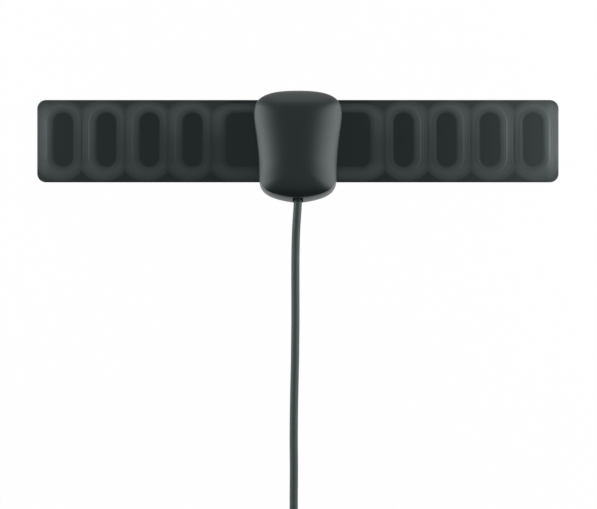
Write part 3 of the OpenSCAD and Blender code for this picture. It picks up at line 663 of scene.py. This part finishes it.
def strip_top_shell(spacing):
    """The front film: a grid over the rounded strip, raised by one smooth step at the foil's edge and by a second
    one 3 mm outside each hole. Row v of column x is at y = v * (half height of the strip at x)."""
    x = columns(spacing)
    over = np.maximum(np.abs(x) - (STRIP_W / 2 - STRIP_CORNER), 0)
    half = STRIP_H / 2 - STRIP_CORNER + np.sqrt(np.maximum(STRIP_CORNER ** 2 - over ** 2, 0))
    side = np.linspace(BOARD_L / STRIP_H, 1, int(round((STRIP_H - BOARD_L) / 2 / spacing)) + 1)
    middle = np.linspace(-BOARD_L / STRIP_H, BOARD_L / STRIP_H, int(round(BOARD_L / spacing)) + 1)
    v = np.concatenate([-side[:0:-1], middle, side[1:]])
    gx, gy = np.broadcast_arrays(x[:, None], v[None] * half[:, None])
    chain, holes = foil_distances(gx, gy)

    def inside(d, soft):
        return smooth(0.5 - d / (2 * soft))

    foil = inside(chain - EMBOSS_GROW, 0.9)
    step = inside(holes - STEP_IN, 0.3) * inside(-holes - EMBOSS_GROW, 0.9)
    border = np.minimum(STRIP_H / 2 - np.abs(gy), STRIP_W / 2 - np.abs(gx))
    fade = smooth(border / 0.5)
    z = FILM_TOP + STEP_T * (foil + step) * fade
    m, n = len(x), len(v)
    points = np.stack([gx, gy + STRIP_RISE, z], -1).reshape(-1, 3)
    i, j = np.arange(m - 1)[:, None], np.arange(n - 1)[None]
    a = i * n + j
    quads = np.stack([a, a + n, a + n + 1, a + 1], -1).reshape(-1, 4)
    mid = points[quads].mean(1)
    window = (np.abs(mid[:, 0]) < BOARD_W / 2) & (np.abs(mid[:, 1] - STRIP_RISE) < BOARD_L / 2)
    faces = [quads[~window]]

    # Outer border and the window's border, as loops of grid points
    ix, iy = np.arange(m), np.arange(n)
    loop = np.concatenate([ix * n, (m - 1) * n + iy[1:], (ix[::-1][1:]) * n + n - 1, iy[::-1][1:-1]])
    wx = np.where(np.abs(x) <= BOARD_W / 2 + 1e-6)[0]
    wy = np.where(np.abs(v) <= BOARD_L / STRIP_H + 1e-9)[0]
    hole = np.concatenate([
        wx * n + wy[0], wx[-1] * n + wy[1:], wx[::-1][1:] * n + wy[-1], wx[0] * n + wy[::-1][1:-1]
    ])
    extra, start = [], len(points)

    def copy_loop(which, z, shift=0.0):
        ring = points[which].copy()
        if shift:
            ring[:, :2] = inset(ring[:, :2], shift)
        ring[:, 2] = z
        extra.append(ring)
        return start + sum(len(e) for e in extra[:-1]) + np.arange(len(ring))

    def band(top, low):
        return np.stack([top, low, np.roll(low, -1), np.roll(top, -1)], -1)

    foot = copy_loop(loop, FOIL_Z)
    inner = copy_loop(loop, FOIL_Z, 0.22)
    under = copy_loop(loop, FOIL_TOP, 0.22)
    hole_under = copy_loop(hole, FOIL_TOP)
    faces += [band(loop, foot), band(foot, inner), band(inner, under), band(hole_under, hole)]
    # The flat underside, as two C-shaped faces that meet at x = 0
    middle_x = m // 2
    n_loop, n_hole = len(loop), len(hole)
    low_mid, high_mid = middle_x, (m - 1) + (n - 1) + (m - 1 - middle_x)
    w = len(wx) // 2
    hole_low, hole_high = w, (len(wx) - 1) + (len(wy) - 1) + (len(wx) - 1 - w)
    right = np.concatenate([under[low_mid:high_mid + 1], hole_under[hole_low:hole_high + 1][::-1]])
    left = np.concatenate([
        under[high_mid:], under[:low_mid + 1],
        np.concatenate([hole_under[hole_high:], hole_under[:hole_low + 1]])[::-1],
    ])
    faces += [right[::-1][None], left[::-1][None]]
    every = np.concatenate([points] + extra)
    missing = len(every) - len(points)
    foil_and_painted_sheen, edge = film_tones(gx, gy, chain, holes, inside)
    # foil: the foil's paler tone with painted reflection on it; edge: painted highlights on the embossed edges.
    values = {
        "foil": np.concatenate([foil_and_painted_sheen.ravel(), np.zeros(missing)]),
        "step": np.concatenate([step.ravel(), np.zeros(missing)]),
        "edge": np.concatenate([(edge * fade).ravel(), np.zeros(missing)]),
    }
    uvs = [np.stack([every[g][..., 0], every[g][..., 1]], -1) for g in faces]
    return (every, faces, uvs), values


strip_shell, strip_values = strip_top_shell(0.34)
strip = put_mesh("strip_front_film", [strip_shell], strip_values)
carve(strip, rods("peg_holes", PEGS, 0, PEG_R + 0.1, POD_H))
place(strip, strip_film(), "smoke_film", "front_film", crease=50)


# ---------------------------------------------------------------- grommet, tie and plug

# Rubber grommet; its black collar outside the wall is also painted shade, standing in for the shadow where the cord
# leaves the pod.
grommet_rows = rounded(
    [[-22.6, 2.02], [-22.6, 3.4], [-23.8, 3.4], [-23.8, 2.4], [-26.3, 2.4], [-26.3, 2.02], [-22.6, 2.02]],
    [0, 0.15, 0.15, 0.05, 0.25, 0.1, 0], 5,
)[:-1]
grommet = put_mesh("cord_grommet", [along_axis(grommet_rows, [0, 0, EXIT_Z], 2, 96, wrap=True)])
place(grommet, rubber("grommet_rubber", (0.008, 0.008, 0.009), 0.55), "grommet_rubber", "cable_grommet")


def on_plug(name, rows, material, slot, node, body="antenna", wrap=False, sides=96):
    """Turned piece on the plug's axis."""
    piece = put_mesh(name, [along_axis(rows, [PLUG_X, PLUG_Y, PLUG_Z], 1, sides, wrap)])
    return place(piece, material, slot, node, body=body)


black_rubber = rubber("boot_rubber", (0.012, 0.012, 0.013), 0.5)
z = np.linspace(0.25, 13.5, 220)
ribs = 3 + 1.8 * z / 13.8 - 0.5 * smooth(1.6 - 6 * np.abs((z / 2.2) % 1 - 0.72)) * (z < 11.6)
outer = np.column_stack([z, ribs])
rows = np.concatenate([[[0.0, 2.05], [0.0, 2.8]], outer, [[13.8, 4.6], [13.8, 2.05]]])
boot = on_plug("plug_boot_ribbed", rows, black_rubber, "boot_rubber", "plug_boot", wrap=True)

z = np.linspace(15.2, 28.4, 260)
grooves = 6.7 - 0.5 * smooth(2.4 - 5.5 * np.abs(((z - 21.8) / 2.6) % 1 - 0.5)) * (np.abs(z - 21.8) < 5.2)
back_round = np.column_stack([15 - 1.2 * np.cos(quarter), 5.5 + 1.2 * np.sin(quarter)])
front_round = np.column_stack([28.6 + 1.2 * np.sin(quarter), 5.5 + 1.2 * np.cos(quarter)])
rows = np.concatenate([[[15.0, 2.05], [13.8, 2.05]], back_round, np.column_stack([z, grooves]), front_round])
grip = on_plug("plug_grip_grooved", rows, moulded_plastic("grip_plastic", (0.013, 0.013, 0.014), 0.42),
               "boot_rubber", "plug_grip")

nickel = polished_metal("nickel_plate", (0.70, 0.69, 0.66), 0.2, stretch=(0.1, 1, 1))
rows = rounded([[29.8, 2.2], [29.8, 3.3], [32.8, 3.3], [32.8, 4.3], [34, 4.3], [34, 3.3], [36.3, 3.3], [36.3, 2.2],
                [29.8, 2.2]], [0, 0.05, 0.05, 0.15, 0.15, 0.05, 0.3, 0.15, 0], 5)[:-1]
barrel = on_plug("plug_barrel_turned", rows, nickel, "nickel", "plug_barrel", wrap=True)

rows = rounded([[29.8, 0.5], [29.8, 2.2], [36.3, 2.2], [36.3, 0.5], [29.8, 0.5]], [0, 0.05, 0.15, 0.1, 0], 4)[:-1]
insulator = on_plug("plug_insulator_disc", rows, rubber("white_insulation", (0.78, 0.76, 0.70), 0.35), "dielectric",
                    "plug_insulator", wrap=True)
tip = np.column_stack([43.1 + 0.5 * np.sin(quarter[:-1]), 0.5 * np.cos(quarter[:-1])])
pin = on_plug("plug_pin_round", np.concatenate([[[29.8, 0.5], [36, 0.5]], tip]),
              polished_metal("pin_copper", (0.72, 0.42, 0.18), 0.25), "pin_copper", "plug_pin", sides=32)


def nut_shell():
    """Hexagonal nut. Outside, the radius at angle t is flat / cos(t mod 60) held under a cone at both ends;
    inside, it is a bore with a screw thread: a sine along (distance / pitch - t / turn)."""
    flat, corner, length, start = 5.5, 5.5 / math.cos(math.pi / 6), 11.0, 30.1
    sides = 192
    t = np.arange(sides) * TAU / sides
    hexagon = flat / np.cos((t + math.pi / 6) % (math.pi / 3) - math.pi / 6)
    z = np.concatenate([[0.0], np.linspace(0.02, 1.2, 12), np.linspace(1.4, length - 1.4, 40),
                        np.linspace(length - 1.2, length - 0.02, 12), [length]])
    end = np.minimum(z, length - z)
    cone = (corner - 0.75) + 0.75 * np.sqrt(np.clip(end / 1.1, 0, 1))
    outer = np.minimum(hexagon[None], cone[:, None])
    outer[[0, -1]] = np.minimum(outer[[0, -1]], flat - 0.12)
    inner_z = np.linspace(length, 0, 150)
    pitch, depth = 0.794, 0.32
    thread = 4.6 - depth * (0.5 + 0.5 * np.cos(TAU * (inner_z[:, None] / pitch - t[None] / TAU)))
    thread = np.where(inner_z[:, None] > length - 0.5, 4.6 + 0.2 * (inner_z[:, None] - length + 0.5), thread)
    inner = np.where(inner_z[:, None] < 2.3, 3.36, thread)
    depths, radii = np.concatenate([z, inner_z]), np.concatenate([outer, inner])
    rings = np.empty((len(depths), sides, 3))
    rings[..., 0] = start + depths[:, None]
    rings[..., 1], rings[..., 2] = radii * np.cos(t), radii * np.sin(t)
    return shell(rings + np.array([PLUG_X, PLUG_Y, PLUG_Z]), wrap=True, along=depths)


nut = put_mesh("plug_nut_threaded", [nut_shell()])
place(nut, nickel, "nickel", "coupling_nut", body="nut", crease=30)


def tie_shell():
    """Flat strap round the bundle: a rounded rectangle about the turns, |x / w| ** 7 + |z / h| ** 7 = 1, carried
    through a flat section 0.5 by 6."""
    w, h = BUNDLE / 2 + 0.3, BUNDLE / 2 + 0.15
    a = np.arange(160) * TAU / 160
    c, s = np.cos(a), np.sin(a)
    reach = (np.abs(c) ** 7 + np.abs(s) ** 7) ** (-1 / 7)
    path = np.stack([w * reach * c, h * reach * s], -1)
    section = rounded([[0, 0], [0, -3], [TIE_T, -3], [TIE_T, 3], [0, 3], [0, 0]], [0, 0.1, 0.15, 0.15, 0.1, 0], 4)[:-1]
    out = path / np.linalg.norm(path, axis=1, keepdims=True)
    rings = np.empty((160, len(section), 3))
    rings[..., 0] = COIL_X + COIL_R + path[:, :1] + out[:, :1] * section[:, 0]
    rings[..., 1] = COIL_Y + section[:, 1]
    rings[..., 2] = TIE_T + h + path[:, 1:] + out[:, 1:] * section[:, 0]
    return shell(rings, wrap=True)


tie = put_mesh("coil_tie_strap", [tie_shell()])
place(tie, rubber("tie_strap", (0.02, 0.02, 0.022), 0.6), "tie_plastic", "coil_tie")


# ---------------------------------------------------------------- CAD nodes that stay

def dress(material, *nodes):
    for name in nodes:
        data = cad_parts[name].data
        data.materials.clear()
        data.materials.append(material)


def board_finish():
    f = Finish("circuit_board", IOR=1.5, Coat_Roughness=0.2)
    weave = f.noise(0.25, 2.0, stretch=(1, 0.3, 1))
    f.feed(Base_Color=f.shade((0.02, 0.13, 0.05), 0.8 + 0.4 * weave), Roughness=0.3 + 0.15 * weave)
    return f.bump(weave, 0.01).material


dress(moulded_plastic("back_film_tint", (0.014, 0.016, 0.017), 0.45), "back_film")
dress(polished_metal("foil_aluminium", (0.62, 0.63, 0.64), 0.3, (1, 0.05, 1)), "left_foil", "right_foil")
dress(polished_metal("screw_steel", (0.36, 0.36, 0.37), 0.3), "cover_screws")
dress(board_finish(), "circuit_board")
dress(polished_metal("tinned_brass", (0.66, 0.65, 0.62), 0.3), "left_rivet", "right_rivet")
dress(moulded_plastic("ferrite", (0.045, 0.042, 0.04), 0.6, 0.2, 0.03), "balun_core")
dress(moulded_plastic("red_wire", (0.35, 0.05, 0.02), 0.3), "primary_winding")
dress(moulded_plastic("green_wire", (0.03, 0.22, 0.07), 0.3), "secondary_winding")
dress(moulded_plastic("chip_ceramic", (0.38, 0.28, 0.17), 0.45), "matching_capacitors")
dress(polished_metal("crimp_metal", (0.45, 0.45, 0.44), 0.35), "crimp_ring")
dress(polished_metal("tinned_braid", (0.5, 0.46, 0.42), 0.4), "braid_pigtail")
dress(rubber("core_insulation", (0.78, 0.76, 0.70), 0.4), "cable_insulation")
dress(polished_metal("copper_wire", (0.72, 0.35, 0.2), 0.3), "centre_conductor")


# ---------------------------------------------------------------- floor, light and camera

def mat_floor():
    """White to the camera and to mirrors, plain diffuse white to light; a little of the shade stays."""
    f = Finish("white_floor", Roughness=0.9)
    tree = f.tree
    soft = f.noise(60.0)
    f.feed(Base_Color=f.shade((0.86, 0.86, 0.86), 0.98 + 0.04 * soft))
    path = tree.nodes.new("ShaderNodeLightPath")
    seen = Number(f, path.outputs["Is Camera Ray"])
    seen = f.node("Math", {"operation": "MAXIMUM"}, {0: seen, 1: Number(f, path.outputs["Is Glossy Ray"])})
    seen = f.node("Math", {"operation": "MAXIMUM"}, {0: seen, 1: Number(f, path.outputs["Is Transmission Ray"])})
    glow = tree.nodes.new("ShaderNodeEmission")
    glow.inputs["Color"].default_value = (1, 1, 1, 1)
    glow.inputs["Strength"].default_value = 1.0
    mix = tree.nodes.new("ShaderNodeMixShader")
    tree.links.new((seen * 0.985).socket, mix.inputs[0])
    tree.links.new(f.shader.outputs[0], mix.inputs[1])
    tree.links.new(glow.outputs[0], mix.inputs[2])
    tree.links.new(mix.outputs[0], tree.nodes["Material Output"].inputs["Surface"])
    return f.material


floor_side = 12000.0
floor = put_mesh("floor", [bar([-floor_side, -floor_side, -30.0], [floor_side, floor_side, -0.05])])
floor.data.materials.append(mat_floor())

def studio_world():
    """Pale ceiling that darkens towards the near side; white where the camera looks past the floor."""
    world = bpy.data.worlds.new("studio")
    bpy.context.scene.world = world
    world.use_nodes = True
    tree = world.node_tree
    nodes, links = tree.nodes, tree.links
    toward = nodes.new("ShaderNodeTexCoord")
    split = nodes.new("ShaderNodeSeparateXYZ")
    links.new(toward.outputs["Generated"], split.inputs[0])
    level = nodes.new("ShaderNodeMapRange")
    level.interpolation_type = "SMOOTHSTEP"
    for key, value in (("From Min", -0.85), ("From Max", -0.25), ("To Min", 0.03), ("To Max", 0.41)):
        level.inputs[key].default_value = value
    links.new(split.outputs["Y"], level.inputs["Value"])
    room, white = nodes["Background"], nodes.new("ShaderNodeBackground")
    room.inputs["Color"].default_value = (0.84, 1.0, 1.0, 1)
    white.inputs["Color"].default_value = (1, 1, 1, 1)
    links.new(level.outputs[0], room.inputs["Strength"])
    path, mix = nodes.new("ShaderNodeLightPath"), nodes.new("ShaderNodeMixShader")
    links.new(path.outputs["Is Camera Ray"], mix.inputs[0])
    links.new(room.outputs[0], mix.inputs[1])
    links.new(white.outputs[0], mix.inputs[2])
    links.new(mix.outputs[0], nodes["World Output"].inputs["Surface"])


studio_world()


def softbox(name, at, to, size, radiance):
    """Rectangular lamp at a point in metres, facing another, with the same brightness all over."""
    data = bpy.data.lights.new(name, "AREA")
    data.shape, (data.size, data.size_y) = "RECTANGLE", size
    data.energy = radiance * math.pi * size[0] * size[1]
    data.color = (0.92, 1.0, 1.01)
    lamp = bpy.data.objects.new(name, data)
    lamp.location = at
    bpy.context.scene.collection.objects.link(lamp)
    lamp.rotation_mode = "QUATERNION"
    lamp.rotation_quaternion = (Vector(at) - Vector(to)).to_track_quat("Z", "Y")
    return lamp


def bank(side, x, tiers):
    """Lamps one above another on the left (-1) or the right (1), which fade upwards: each tier is the elevations in
    degrees between which it reaches, and its radiance."""
    for k, (low, high, radiance) in enumerate(tiers):
        z0, z1 = (x * math.tan(math.radians(a)) for a in (low, high))
        at = (side * x, 0.03, (z0 + z1) / 2)
        softbox(f"side_{side}_{k}", at, (0, 0.03, at[2]), (0.36, z1 - z0), radiance)


bank(-1, 0.33, ((0, 13, 4.9), (13, 28, 2.0), (28, 44, 0.6)))
bank(1, 0.32, ((0, 15, 4.4), (15, 38, 2.2), (38, 56, 0.95)))
softbox("top_softbox", (0.0, 0.5, 0.13), (0, 0, 0.02), (0.6, 0.24), 0.8)

camera_data = bpy.data.cameras.new("camera")
camera = bpy.data.objects.new("camera", camera_data)
bpy.context.scene.collection.objects.link(camera)
height = 1.5
camera_data.sensor_width = 36
camera_data.lens = 36 * height / 0.2863
camera_data.clip_start, camera_data.clip_end = 0.05, 100
camera.location = (0.00029, -0.05165, height + 0.003)
bpy.context.scene.camera = camera
bpy.context.scene.view_settings.view_transform = "Standard"
